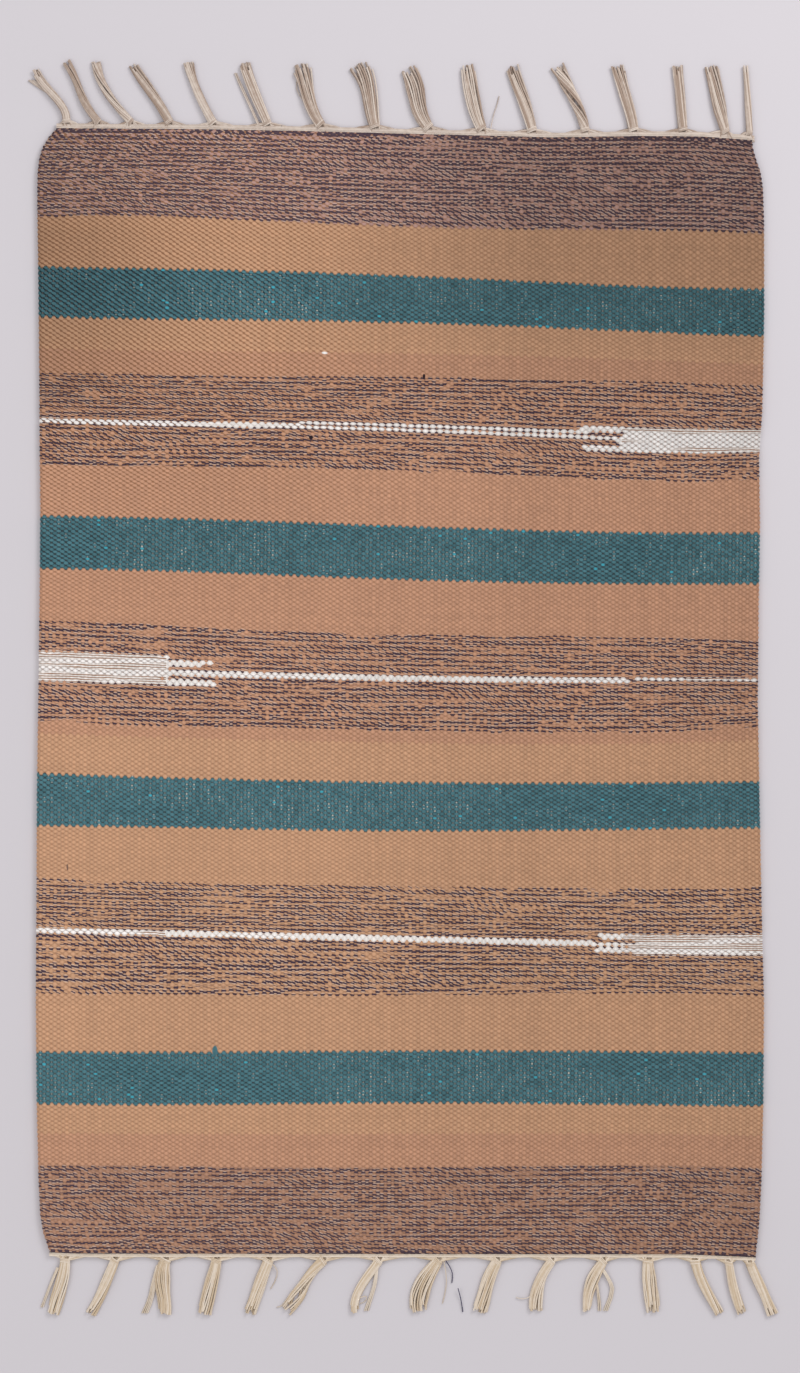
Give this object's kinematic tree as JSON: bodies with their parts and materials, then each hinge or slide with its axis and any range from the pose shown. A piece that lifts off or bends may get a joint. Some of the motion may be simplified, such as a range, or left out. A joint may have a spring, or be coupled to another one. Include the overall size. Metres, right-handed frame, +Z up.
{
  "type": "kilim rug",
  "caption": "Small flat-woven cotton kilim with terracotta, mottled and teal stripes across it and a knotted fringe at both ends, lying flat.",
  "frame": {"origin": "centre of the whole rug's footprint, fringe included, on the floor", "axes": "+Y along the rug, towards the fringe at the top of the picture; +X across it; +Z up out of the side that shows"},
  "size_m": [0.6164, 1.0408, 0.005],
  "materials": {
    "cloth_yarn": "matt woven cotton",
    "top_warp_yarn": "matt undyed cotton yarn",
    "bottom_warp_yarn": "matt undyed cotton yarn"
  },
  "bodies": {
    "root": {"woven_cloth": "cloth_yarn", "fringe_top": "top_warp_yarn", "fringe_bottom": "bottom_warp_yarn"}
  },
  "joints": []
}
